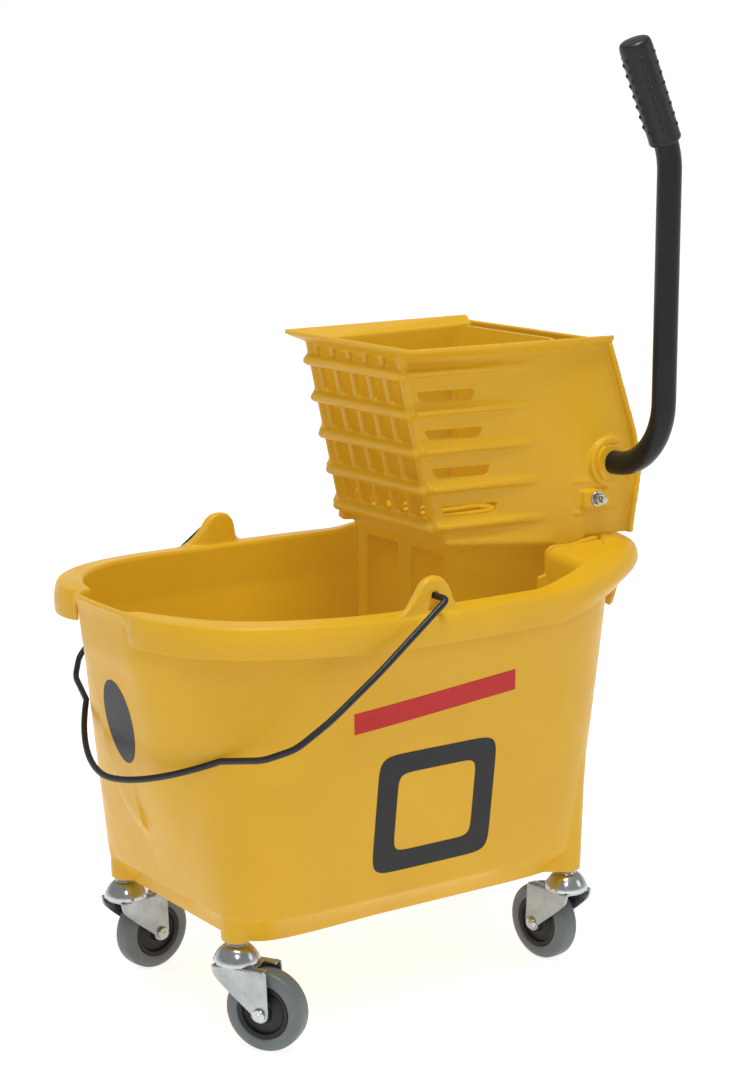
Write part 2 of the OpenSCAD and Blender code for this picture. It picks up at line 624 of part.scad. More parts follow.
module shaft_cap() color(black) translate([shaft_x, boss_y + 12, shaft_z]) rotate([-90, 0, 0]) {
  cylinder(r = 12, h = 2.5);
  translate([0, 0, -3]) cylinder(r = tube_d / 2 - 2.1 - 0.1, h = 3 + eps);
}
module cotter_pin() color(steel) translate([shaft_x, boss_y + 7, shaft_z - 18]) {
  cylinder(r = 1.6, h = 34);
  translate([0, 0, 36]) rotate([90, 0, 0]) rotate_extrude($fn = 24)
    translate([2.6, 0]) circle(r = 1.2, $fn = 16);
}

// Torsion spring round the shaft; its long leg bears on the lower cross panel
module return_spring() color(steel) {
  turns = 5.5;
  r = 17;
  pitch = 3.6;
  coil = [for (i = [0:turns * 20]) let (a = 180 - 18 * i)
    [shaft_x + r * cos(a), -8 + pitch * i / 20, shaft_z + r * sin(a)]];
  foot = [shaft_x - r, -8, shaft_z - 38];
  last = coil[len(coil) - 1];
  wire(concat([foot], coil, [last + [0, 0, -14]]), 2.6, [0, 1, 0], 8);
}

bucket_shell();
bail_wire();
stem(FL);  // stem_fl
stem(FR);  // stem_fr
stem(RL);  // stem_rl
stem(RR);  // stem_rr
balls(FL);  // balls_fl
balls(FR);  // balls_fr
balls(RL);  // balls_rl
balls(RR);  // balls_rr
fork(FL);  // fork_fl
fork(FR);  // fork_fr
fork(RL);  // fork_rl
fork(RR);  // fork_rr
axle(FL);  // axle_fl
axle(FR);  // axle_fr
axle(RL);  // axle_rl
axle(RR);  // axle_rr
hub(FL);  // hub_fl
hub(FR);  // hub_fr
hub(RL);  // hub_rl
hub(RR);  // hub_rr
tyre(FL);  // tyre_fl
tyre(FR);  // tyre_fr
tyre(RL);  // tyre_rl
tyre(RR);  // tyre_rr
wringer_body();
anchor_bolts();
anchor_washers();
anchor_nuts();
bush(-1);  // bush_near
bush(1);  // bush_far
press_plate();
racks();
rack_screws();
handle_tube();
grip();
sectors();
sector_pins();
shaft_cap();
cotter_pin();
return_spring();
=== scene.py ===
import json
import math
import bpy
import bmesh
import numpy as np
from mathutils import Matrix, Vector


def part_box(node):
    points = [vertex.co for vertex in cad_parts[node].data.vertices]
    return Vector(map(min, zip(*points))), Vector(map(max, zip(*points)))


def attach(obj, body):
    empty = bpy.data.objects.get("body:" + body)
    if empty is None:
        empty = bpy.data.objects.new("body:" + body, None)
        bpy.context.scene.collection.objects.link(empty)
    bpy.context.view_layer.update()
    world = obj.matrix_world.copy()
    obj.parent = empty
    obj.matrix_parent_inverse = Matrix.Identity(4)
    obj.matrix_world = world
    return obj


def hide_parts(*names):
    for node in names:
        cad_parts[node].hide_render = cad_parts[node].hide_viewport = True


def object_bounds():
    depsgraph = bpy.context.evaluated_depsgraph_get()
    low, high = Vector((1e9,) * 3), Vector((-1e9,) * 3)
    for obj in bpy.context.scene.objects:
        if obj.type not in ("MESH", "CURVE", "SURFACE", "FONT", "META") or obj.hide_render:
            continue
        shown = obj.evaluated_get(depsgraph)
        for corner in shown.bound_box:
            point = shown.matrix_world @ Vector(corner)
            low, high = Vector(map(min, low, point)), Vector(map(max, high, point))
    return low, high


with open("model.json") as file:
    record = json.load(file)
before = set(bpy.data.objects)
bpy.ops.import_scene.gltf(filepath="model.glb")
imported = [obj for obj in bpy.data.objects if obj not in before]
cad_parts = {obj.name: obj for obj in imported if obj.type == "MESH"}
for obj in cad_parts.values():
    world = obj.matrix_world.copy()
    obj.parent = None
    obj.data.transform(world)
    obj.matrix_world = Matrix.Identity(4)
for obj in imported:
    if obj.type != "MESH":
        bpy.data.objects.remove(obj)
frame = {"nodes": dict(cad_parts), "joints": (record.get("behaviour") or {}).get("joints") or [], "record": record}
cad_low, cad_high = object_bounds()
JOINTS = {j["name"]: j for j in frame["joints"]}
MM = 0.001
# turns that lay a profile drawn in x and y, or a revolved one, along -y or x
TO_MINUS_Y = Matrix.Rotation(math.radians(90), 4, "X")
TO_X = Matrix.Rotation(math.radians(90), 4, "Y")

# ---------------------------------------------------------------- small maths (lengths in mm)


def lerp(a, b, t):
    """The value t of the way from a to b."""
    return a + (b - a) * t


def ease(a, b, v):
    """0 below a, 1 above b and a smooth step between them."""
    t = min(max((v - a) / (b - a), 0.0), 1.0)
    return t * t * (3 - 2 * t)


def smax(a, b, k):
    """The larger of two, blended where they differ by less than k."""
    h = max(k - abs(a - b), 0.0) / k
    return max(a, b) + h * h * k / 4


def smin(a, b, k):
    """The smaller of two, blended in the same way."""
    return -smax(-a, -b, k)


def soften(points, tangents, n=4):
    """Polyline with each corner rounded by a curve of n + 1 points; tangents say how far it reaches."""
    out = []
    last = len(points) - 1
    for i, (p, d) in enumerate(zip(points, tangents)):
        if i in (0, last) or d <= 0:
            out.append(np.array(p, float))
            continue
        a, b, c = (np.array(points[k], float) for k in (i - 1, i, i + 1))
        la, lc = np.linalg.norm(a - b), np.linalg.norm(c - b)
        u = (a - b) / max(la, 1e-9) * min(d, 0.48 * la)
        v = (c - b) / max(lc, 1e-9) * min(d, 0.48 * lc)
        for s in np.linspace(0, 1, n + 1):
            out.append(b + (1 - s) ** 2 * u + s ** 2 * v)
    return out


# ---------------------------------------------------------------- mesh helpers


def new_object(name, verts, faces, scale=MM):
    mesh = bpy.data.meshes.new(name)
    mesh.from_pydata([tuple(float(x) * scale for x in v) for v in verts], [], faces)
    mesh.validate()
    obj = bpy.data.objects.new(name, mesh)
    bpy.context.scene.collection.objects.link(obj)
    return obj


def fix_normals(obj):
    bm = bmesh.new()
    bm.from_mesh(obj.data)
    bmesh.ops.recalc_face_normals(bm, faces=bm.faces)
    bm.to_mesh(obj.data)
    bm.free()


def baked(obj):
    """Applies the object's modifiers to its mesh."""
    graph = bpy.context.evaluated_depsgraph_get()
    mesh = bpy.data.meshes.new_from_object(obj.evaluated_get(graph))
    obj.modifiers.clear()
    old = obj.data
    obj.data = mesh
    bpy.data.meshes.remove(old)
    return obj


def shade(obj, angle=38):
    mesh = obj.data
    mesh.polygons.foreach_set("use_smooth", [True] * len(mesh.polygons))
    mesh.set_sharp_from_angle(angle=math.radians(angle))
    return obj


def piece(obj, body, mat, nodes=(), angle=38):
    shade(obj, angle)
    obj.data.materials.clear()
    obj.data.materials.append(mat)
    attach(obj, body)
    if nodes:
        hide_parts(*nodes)
    return obj


def join(name, objs):
    """One object from several, in code, so that nothing depends on the selection."""
    bm = bmesh.new()
    for o in objs:
        o.data.transform(o.matrix_world)
        bm.from_mesh(o.data)
        bpy.data.objects.remove(o)
    mesh = bpy.data.meshes.new(name)
    bm.to_mesh(mesh)
    bm.free()
    obj = bpy.data.objects.new(name, mesh)
    bpy.context.scene.collection.objects.link(obj)
    return obj


def rings_mesh(name, rings, closed=False):
    """Skin over rings of points; closed joins the last ring to the first."""
    n, m = len(rings[0]), len(rings)
    verts = [p for r in rings for p in r]
    faces = []
    for j in range(m if closed else m - 1):
        k = (j + 1) % m
        faces += [(j * n + i, j * n + (i + 1) % n, k * n + (i + 1) % n, k * n + i) for i in range(n)]
    if not closed:
        faces += [tuple(range(n))[::-1], tuple((m - 1) * n + i for i in range(n))]
    obj = new_object(name, verts, faces)
    fix_normals(obj)
    return obj


def prism(name, outline, depth, place):
    """Outline in local x and y, extruded along local z from 0 to depth, set by a matrix (mm)."""
    n = len(outline)
    verts = [place @ Vector((x, y, z)) for z in (0, depth) for x, y in outline]
    faces = [tuple(range(n))[::-1], tuple(n + i for i in range(n))]
    faces += [(i, (i + 1) % n, n + (i + 1) % n, n + i) for i in range(n)]
    obj = new_object(name, verts, faces)
    fix_normals(obj)
    return obj


def tube(name, path, radius, sides=16, normal=(0, 0, 1), closed=False):
    """Round bar along a path; radius is one number or one for each point."""
    pts = [Vector(p) for p in path]
    n = len(pts)
    rad = [float(r) for r in radius] if hasattr(radius, "__len__") else [radius] * n
    up = Vector(normal)
    rings = []
    for i, p in enumerate(pts):
        a = pts[(i - 1) % n] if closed or i else pts[0]
        b = pts[(i + 1) % n] if closed or i < n - 1 else pts[-1]
        t = (b - a).normalized()
        up = (up - t * up.dot(t)).normalized()
        w = t.cross(up)
        rings.append([p + rad[i] * (math.cos(q) * up + math.sin(q) * w)
                      for q in np.linspace(0, 2 * math.pi, sides, endpoint=False)])
    return rings_mesh(name, rings, closed)


def revolve(name, profile, place, sides=64):
    """Closed profile of (radius, height) turned round local z."""
    rings = [[place @ Vector((r * math.cos(a), r * math.sin(a), h)) for r, h in profile]
             for a in np.linspace(0, 2 * math.pi, sides, endpoint=False)]
    obj = rings_mesh(name, rings, closed=True)
    bm = bmesh.new()
    bm.from_mesh(obj.data)
    bmesh.ops.remove_doubles(bm, verts=bm.verts, dist=1e-6)
    bmesh.ops.recalc_face_normals(bm, faces=bm.faces)
    bm.to_mesh(obj.data)
    bm.free()
    return obj


def box(name, low, high, place=Matrix()):
    (a, b, c), (d, e, f) = low, high
    return prism(name, [(a, b), (d, b), (d, e), (a, e)], f - c, place @ Matrix.Translation((0, 0, c)))


def moulded(obj, voxel, rounds, most):
    """Melts overlapping solids into one moulding with soft edges."""
    r = obj.modifiers.new("melt", "REMESH")
    r.mode = "VOXEL"
    r.voxel_size = voxel * MM
    s = obj.modifiers.new("soften", "SMOOTH")
    s.factor, s.iterations = 0.5, rounds
    baked(obj)
    count = sum(len(p.vertices) - 2 for p in obj.data.polygons)
    if count > most:
        d = obj.modifiers.new("thin", "DECIMATE")
        d.ratio = most / count
        baked(obj)
    return obj


# ---------------------------------------------------------------- materials


def material(name, colour, rough, metallic=0.0, spread=0.06, patch=22.0, grain=900.0, grain_depth=0.05,
             rough_spread=0.08, ior=1.5, tint=None, glow=None):
    """Colour clouds from one noise, patchy roughness from a second and a fine bump from a third."""
    mat = bpy.data.materials.new(name)
    mat.use_nodes = True
    nodes, links = mat.node_tree.nodes, mat.node_tree.links
    shader = nodes["Principled BSDF"]
    shader.inputs["Metallic"].default_value = metallic
    shader.inputs["IOR"].default_value = ior
    if glow:
        # painted light: the moulding glows by itself in its own orange, lifting its shaded inside where thin
        # translucent plastic would let light through
        shader.inputs["Emission Color"].default_value = (*glow[0], 1)
        shader.inputs["Emission Strength"].default_value = glow[1]
    coords = nodes.new("ShaderNodeTexCoord")

    def noise(scale, detail):
        n = nodes.new("ShaderNodeTexNoise")
        n.inputs["Scale"].default_value = scale
        n.inputs["Detail"].default_value = detail
        links.new(coords.outputs["Object"], n.inputs["Vector"])
        return n

    cloud = noise(patch, 3.0)
    ramp = nodes.new("ShaderNodeValToRGB")
    dark = [c * (1 - spread) for c in colour]
    light = [min(1.0, c * (1 + spread)) for c in (tint or colour)]
    ramp.color_ramp.elements[0].position, ramp.color_ramp.elements[1].position = 0.32, 0.68
    ramp.color_ramp.elements[0].color = (*dark, 1)
    ramp.color_ramp.elements[1].color = (*light, 1)
    links.new(cloud.outputs["Fac"], ramp.inputs["Fac"])
    links.new(ramp.outputs["Color"], shader.inputs["Base Color"])
    mid = noise(patch * 6, 4.0)
    span = nodes.new("ShaderNodeMapRange")
    span.inputs["From Min"].default_value, span.inputs["From Max"].default_value = 0.3, 0.7
    span.inputs["To Min"].default_value = max(rough - rough_spread, 0.02)
    span.inputs["To Max"].default_value = rough + rough_spread
    links.new(mid.outputs["Fac"], span.inputs["Value"])
    links.new(span.outputs["Result"], shader.inputs["Roughness"])
    fine = noise(grain, 2.0)
    bump = nodes.new("ShaderNodeBump")
    bump.inputs["Strength"].default_value = 0.6
    bump.inputs["Distance"].default_value = grain_depth * MM
    links.new(fine.outputs["Fac"], bump.inputs["Height"])
    links.new(bump.outputs["Normal"], shader.inputs["Normal"])
    return mat


YELLOW = (0.365, 0.212, 0.004)
# moulded_yellow has painted light: an orange glow (emission 0.235) that brightens the shaded inside of the bucket
# and wringer
M_YELLOW = material("moulded_yellow", YELLOW, 0.36, spread=0.035, patch=9.0, grain=950.0, grain_depth=0.06,
                    rough_spread=0.05, ior=1.34, tint=(0.38, 0.226, 0.005), glow=((0.95, 0.47, 0.03), 0.235))
M_WIRE = material("black_wire", (0.008, 0.009, 0.010), 0.42, patch=60, grain=700.0, grain_depth=0.04,
                  ior=1.38)
M_CHROME = material("bright_zinc", (0.44, 0.46, 0.465), 0.16, metallic=1.0, spread=0.10, patch=60,
                    grain=260.0, grain_depth=0.08, rough_spread=0.06)
M_ZINC = material("satin_zinc", (0.35, 0.37, 0.365), 0.34, metallic=1.0, spread=0.14, patch=55,
                  grain=500.0, grain_depth=0.06, rough_spread=0.10)
M_HUB = material("hub_plastic", (0.009, 0.008, 0.008), 0.45, grain=800, grain_depth=0.05, patch=50, ior=1.38)
M_TREAD = material("grey_tread", (0.100, 0.116, 0.118), 0.46, spread=0.05, patch=50, grain=600,
                   grain_depth=0.06, rough_spread=0.08)
M_PAINT = material("black_paint", (0.008, 0.010, 0.011), 0.30, patch=30, grain=260, grain_depth=0.03,
                   ior=1.30)
M_RUBBER = material("black_rubber", (0.006, 0.008, 0.009), 0.38, patch=70, grain=900, grain_depth=0.04,
                    ior=1.38)
M_RED = material("red_print", (0.40, 0.008, 0.006), 0.42, spread=0.04, patch=60, grain=1200,
                 grain_depth=0.02, ior=1.36)
M_BLACK = material("black_print", (0.010, 0.010, 0.011), 0.42, ior=1.34, spread=0.08, patch=60, grain=1200,
                   grain_depth=0.02)
M_FLOOR = material("pale_floor", (0.60, 0.60, 0.61), 0.75, spread=0.01, patch=3.0, grain=300,
                   grain_depth=0.05, rough_spread=0.05)

# ---------------------------------------------------------------- bucket
# angles t are in degrees from the wringer's end, so 180 is the pouring end
RIM_FRONT, RIM_REAR, RIM_HALF, RIM_Z = 268, 274.5, 197, 398
OVER, BASE_Z, BASE_HALF, WALL = 24, 100, 142, 4
WALL_TOP, FOOT_Z = RIM_Z - 32, 122
FOOT_FRONT, FOOT_REAR, REAR_STEP = 199, 201, 8
EAR_R, EYE_Y, EYE_R, EYE_DEPTH = 17.5, 188.5, 4.2, 15
bail_at = Vector(JOINTS["bail_swing"]["pos_m"]) / MM
BAIL_X, BAIL_Z = bail_at.x, bail_at.z
STEMS = {}
for c in ("fl", "fr", "rl", "rr"):
    s = Vector(JOINTS[f"swivel_{c}_turn"]["pos_m"]) / MM
    w = Vector(JOINTS[f"wheel_{c}_roll"]["pos_m"]) / MM
    heading = math.degrees(math.atan2(w.y - s.y, w.x - s.x))
    STEMS[c] = (s.x, s.y, heading, math.hypot(w.x - s.x, w.y - s.y), w.z)
COLUMNS = [(x, y, (14.0, 15.0, 150) if x < 0 else (13.6, 17.0, 232)) for x, y, *_ in STEMS.values()]


def rear(t):
    return ease(0.5, 0.92, math.cos(math.radians(t)))


def front(t):
    return ease(0.3, 0.9, -math.cos(math.radians(t)))


def grip_lip(t):
    return 1 - ease(25, 29, min(t % 360, 360 - t % 360))


def spout(t):
    d = (t % 360) - 180
    return 1 - (ease(11, 12.8, -d) if d < 0 else ease(8.5, 12.5, d))


def rim_end(t):
    """How much of its overhang the rim keeps as it rounds off towards the pouring lip."""
    d = (t % 360) - 180
    u = (23 + d) / 11 if d < 0 else (33 - d) / 22
    return math.sqrt(1 - 0.82 * min(max(u, 0.0), 1.0) ** 2)


def panel(z, t):
    """The raised bow of the pouring end: crisp on the far side and fading on the near side."""
    d = (t % 360) - 180
    v = max(300 - z, 0) / 124
    far = (abs(d) / 12.6) ** 3 + v ** 3
    near = (abs(d) / 17.0) ** 3 + v ** 3
    return 1 - (ease(0.90, 1.05, far ** (1 / 3)) if d < 0 else ease(0.50, 1.40, near ** (1 / 3)))


def wall_r(z, t, off=0.0):
    u = (z - FOOT_Z) / (WALL_TOP - FOOT_Z)
    c, s = abs(math.cos(math.radians(t))), abs(math.sin(math.radians(t)))
    ahead = math.cos(math.radians(t)) < 0
    low, high = (FOOT_FRONT, RIM_FRONT - OVER) if ahead else (FOOT_REAR, RIM_REAR - OVER - REAR_STEP)
    a = lerp(low, high, u) + off
    b = lerp(BASE_HALF, RIM_HALF - OVER, u) + off
    n = 1 / (lerp(1 / 8, 1 / 3, u) if ahead else lerp(1 / 8, 1 / 4, u))
    return ((c / a) ** n + (s / b) ** n) ** (-1 / n) + 9 * panel(z, t)


def column(z, t, side):
    """Where a ray at angle t leaves (side 1) or meets (side -1) a caster socket, or None."""
    for x, y, (low_r, top_r, top_z) in COLUMNS:
        if z > top_z:
            continue
        dist, turn = math.hypot(x, y), math.radians(t) - math.atan2(y, x)
        r = lerp(low_r, top_r, (z - BASE_Z) / (top_z - BASE_Z)) * (1 - 0.25 * ease(top_z - 26, top_z, z))
        across = dist * math.sin(turn)
        if math.cos(turn) > 0 and abs(across) < r:
            return dist * math.cos(turn) + side * math.sqrt(r * r - across * across)
    return None


def outer(z, t, off=0.0):
    r, c = wall_r(z, t, off), column(z, t, 1)
    return r if c is None else smax(r, c, 3.0)


def inner(z, t, off):
    r, c = wall_r(z, t, off), column(z, t, -1)
    return r if c is None else smin(r, c, 3.0)


def ear_height(t, r_mid):
    """Height of the bail ear over the rim, and the share of its thickening."""
    d = r_mid * math.cos(math.radians(t)) - BAIL_X
    if d < -50 or d > 34:
        return 0.0, 0.0
    dome = BAIL_Z - RIM_Z + math.sqrt(max(EAR_R ** 2 - d * d, 0.0)) if abs(d) < EAR_R else 0.0
    run = (ease(-50, -7, d) ** 1.7 if d < 0 else (1 - ease(7, 34, d)) ** 1.7) * 27
    return (smax(dome, run, 7.0) if dome > 0 else run), ease(-44, -16, d) * (1 - ease(12, 30, d))


def section(t):
    """Outline of the wall at angle t as (radius, height), from the skirt over the rim to the floor."""
    # k: skirt's inset; s, r, g: shares of pouring lip, raised rear rim and grip lip; o: rim's overhang
    # e, d, q: drop of the rim's edge, depth of its lower edge and how far that is set in
    k = 14 - 4 * front(t)
    s, r, g = spout(t), rear(t), grip_lip(t)
    o = (OVER + REAR_STEP * r) * rim_end(t)
    e = 29 - 9 * r
    d, q = e + 38 * g, 15 * r + 5 * g
    foot = [((0, BASE_Z + 9), 0), ((wall_r(BASE_Z + 9, t, -k - 5.5), BASE_Z + 9), 2),
            ((wall_r(BASE_Z, t, -k - 3.5), BASE_Z), 1.2), ((outer(BASE_Z, t, -k), BASE_Z), 1.2),
            ((outer(BASE_Z + 8, t, -k * 0.85), BASE_Z + 8), 0),
            ((outer(BASE_Z + 16, t, -k * 0.55), BASE_Z + 16), 5),
            ((outer(FOOT_Z - 0.8, t, -2.6), FOOT_Z - 0.8), 0.8),
            ((outer(FOOT_Z + 1.2, t, -0.3), FOOT_Z + 1.2), 0.8),
            ((outer(FOOT_Z + 7, t), FOOT_Z + 7), 3)]
    walls = [((outer(z, t), z), 0) for z in list(range(136, 260, 8)) + [268, 284, 300, 316, 332]]
    base, top = wall_r(WALL_TOP, t), RIM_Z + 14 * r + 3 * front(t)
    h, thick = ear_height(t, wall_r(WALL_TOP, t) + 17)
    e_out = min(19.6 - 4.1 * thick, o - 3.4)
    e_in = min(13.0 - 8.5 * thick, o * 0.5)
    # rim: distance from the wall and height from the rim's top, the same at the pouring lip, and
    # how far the rounding of that corner reaches
    rows = [((0, -44), (0, -50), 6), ((0.5, -9), (4.2, -14), 4), ((o - 4.2 - 8 * r, -9.5), (4.8, -12), 4),
            ((o - 5 - q, -d), (5.5, -9), 1.6), ((o - 1.2 - q, -d), (6.0, -7), 2.4),
            ((o - 0.9 - 15 * r, 1.5 - e), (6.4, -6.2), 1.5 + 3 * r),
            ((o, lerp(-14, -6, r)), (7.2, -4.6), 7), ((o - 2.2, lerp(-3.6, 8, r)), (7.0, -3.0), 7),
            ((e_out + 0.4, lerp(-1.2, 11.5, r)), (6.3, -2.2), 2.5),
            ((e_out, lerp(-1.2, 11.5, r) + max(h, 0.05)), (6.0, -2.0), 4.5),
            ((e_in + 0.8, lerp(-0.4, 12, r) + max(h, 0.05)), (5.0, -1.8), 4.5),
            ((e_in, lerp(-0.4, 12.5, r)), (4.6, -1.7), 3), ((3, 13 * r), (3.6, -1.6), 2),
            ((-0.5, 13.5 * r + 0.5), (3.0, -1.8), 1.4), ((-2.6, 13.5 * r), (1.8, -3.0), 1.5),
            ((-WALL, 13.5 * r - 3), (0.8, -6.0), 1.2), ((-WALL, -45), (-WALL, -50), 6)]
    rim = [((base + lerp(a[0], b[0], s), top + lerp(a[1], b[1], s)), c) for a, b, c in rows]
    inside = [((inner(z, t, -WALL), z), 0) for z in [332, 316, 300, 284, 268] + list(range(252, 140, -8))]
    floor = [((inner(FOOT_Z + 12, t, -WALL - 2), FOOT_Z + 12), 5),
             ((inner(FOOT_Z, t, -WALL - 10), FOOT_Z), 6), ((0, FOOT_Z - 2), 0)]
    rows = foot + walls + rim + inside + floor
    return soften([p for p, _ in rows], [c for _, c in rows], 4)


def make_bucket():
    count = 520
    angles = [360 * i / count for i in range(count)]
    verts, width = [], 0
    for t in angles:
        sec = section(t)[1:-1]
        width = len(sec)
        c, s = math.cos(math.radians(t)), math.sin(math.radians(t))
        verts += [(r * c, r * s, z) for r, z in sec]
    faces = []
    for j in range(count):
        k = (j + 1) % count
        faces += [(j * width + i, j * width + i + 1, k * width + i + 1, k * width + i)
                  for i in range(width - 1)]
    low, high = len(verts), len(verts) + 1
    verts += [(0, 0, BASE_Z + 9), (0, 0, FOOT_Z - 2)]
    for j in range(count):
        k = (j + 1) % count
        faces += [(low, j * width, k * width), (high, k * width + width - 1, j * width + width - 1)]
    obj = new_object("bucket_moulding", verts, faces)
    fix_normals(obj)
    # blind eyes of the bail in the ears' outer faces, round over a tapering window
    for side in (-1, 1):
        place = Matrix.Translation((BAIL_X, side * EYE_Y + EYE_DEPTH / 2, 0)) @ TO_MINUS_Y
        arc = [(EYE_R * math.cos(a), BAIL_Z + 0.6 + EYE_R * math.sin(a))
               for a in np.linspace(0, math.pi, 13)]
        window = [(-7.5, RIM_Z + 3), (-6.5, RIM_Z + 0.5), (7.5, RIM_Z + 0.5), (8.5, RIM_Z + 3)]
        eye = prism("eye", arc + window, EYE_DEPTH, place)
        cut = obj.modifiers.new("eye", "BOOLEAN")
        cut.operation, cut.solver, cut.object = "DIFFERENCE", "EXACT", eye
        baked(obj)
        bpy.data.objects.remove(eye)
    return obj


BASKET_HALF, SPLAY_TAN = 77, 0.153
SPLAY = math.atan(SPLAY_TAN)
CHEEK_X = 165


def side_y(x):
    """Half width of the basket at x, its sides splaying outwards."""
    return BASKET_HALF + (x - 15) * SPLAY_TAN


def half_at(x, z):
    """Half width of the bucket's wall at x and z on the wringer's side."""
    u = (min(z, WALL_TOP) - FOOT_Z) / (WALL_TOP - FOOT_Z)
    a, b = lerp(FOOT_REAR, RIM_REAR - OVER - REAR_STEP, u), lerp(BASE_HALF, RIM_HALF - OVER, u)
    n = 1 / lerp(1 / 8, 1 / 4, u)
    return b * max(1 - (x / a) ** n, 0.0) ** (1 / n)


def make_cheeks():
    """The two inner walls that the wringer stands between, and what joins them to the rim."""
    parts = []
    for side in (-1, 1):
        outline = soften([(0, 330), (-8, 330), (-8, 391), (0, 393), (0, 415), (6, 420.5), (30, 420.5),
                          (50, 425.3), (57, 425.3), (57, 330), (0, 330)],
                         [0, 0, 2, 2, 3, 4, 6, 5, 0, 0, 0])[:-1]
        y = side * (side_y(CHEEK_X) + 5.5)
        place = (Matrix.Translation((CHEEK_X, y, 0)) @ Matrix.Rotation(side * SPLAY, 4, "Z")
                 @ Matrix.Translation((0, 2.5, 0)) @ TO_MINUS_Y)
        cheek = prism("cheek", [tuple(p) for p in outline], 5, place)
        bev = cheek.modifiers.new("bevel", "BEVEL")
        bev.width, bev.segments, bev.limit_method = 1.2 * MM, 3, "ANGLE"
        parts.append(baked(cheek))
        # corner that closes the space between the cheek and the rim
        rings = []
        for u in np.linspace(0, 1, 22):
            def at(x, z):
                start, end = side_y(x) + 4.5, half_at(x, z) - 2.2
                return (x, side * lerp(start, max(end, start + 0.5), u), z)

            def height(x):
                turn = math.degrees(math.atan2(half_at(x, WALL_TOP), x))
                return lerp(418.5 + (x - CHEEK_X) * 0.05, RIM_Z + 27.4 * rear(turn) + 0.2, u ** 1.4)

            front_top = height(CHEEK_X + 12)
            ring = [at(CHEEK_X, 346), at(CHEEK_X, front_top - 30), at(CHEEK_X + 0.3, front_top - 16)]
            ring += [at(CHEEK_X + 12 - 11.7 * math.cos(a), front_top - 13 + 13 * math.sin(a))
                     for a in np.linspace(0.15, math.pi / 2, 9)]
            ring += [at(x, height(x)) for x in np.linspace(CHEEK_X + 15, 224, 16)] + [at(224, 346)]
            rings.append(ring)
        parts.append(rings_mesh("corner", rings))
    return parts


bucket = join("bucket_moulding", [make_bucket()] + make_cheeks())
piece(bucket, "bucket", M_YELLOW, ["bucket_shell"], 34)

# ---------------------------------------------------------------- bail
REST = math.radians(36.5)
ALONG = Vector((-math.cos(REST), 0, -math.sin(REST)))


def bail_point(r, y):
    """Point of the bail at rest, r from its hinge line."""
    return bail_at + ALONG * r + Vector((0, y - bail_at.y, 0))


def rounded_path(points, tangents, n=6):
    """The same as soften for vectors, with n + 1 points at each corner."""
    out = []
    for j, (p, d) in enumerate(zip(points, tangents)):
        if j in (0, len(points) - 1) or d <= 0:
            out.append(Vector(p))
            continue
        a, b, c = points[j - 1], points[j], points[j + 1]
        u, v = (a - b).normalized() * d, (c - b).normalized() * d
        out += [b + (1 - i / n) ** 2 * u + (i / n) ** 2 * v for i in range(n + 1)]
    return out


legs = [bail_point(r, y) for r, y in ((0, 182.5), (0, 206), (92, 209), (153, 206), (190, 197), (212, 172))]
bow = [bail_point(289 - 60 * float(abs(y) / 124) ** 1.75, float(y)) for y in np.linspace(124, -124, 41)]
near_leg = rounded_path(legs + [bow[0]], [0, 6, 14, 14, 9, 9, 0])[:-1]
far_leg = [Vector((p.x, -p.y, p.z)) for p in reversed(near_leg)]
bail = tube("bail", near_leg + bow + far_leg, 3.0, 20, ALONG)
piece(bail, "bail", M_WIRE, ["bail_wire"], 60)

# ---------------------------------------------------------------- casters
WHEEL_R, TREAD_W, HUB_R = 38.1, 23, 25
CUP_Z, CROWN_Z, CROWN_T, LEG_GAP, LEG_T = BASE_Z - 4, 76.8, 2.6, 15, 2.3
AXLE_HALF = LEG_GAP + LEG_T


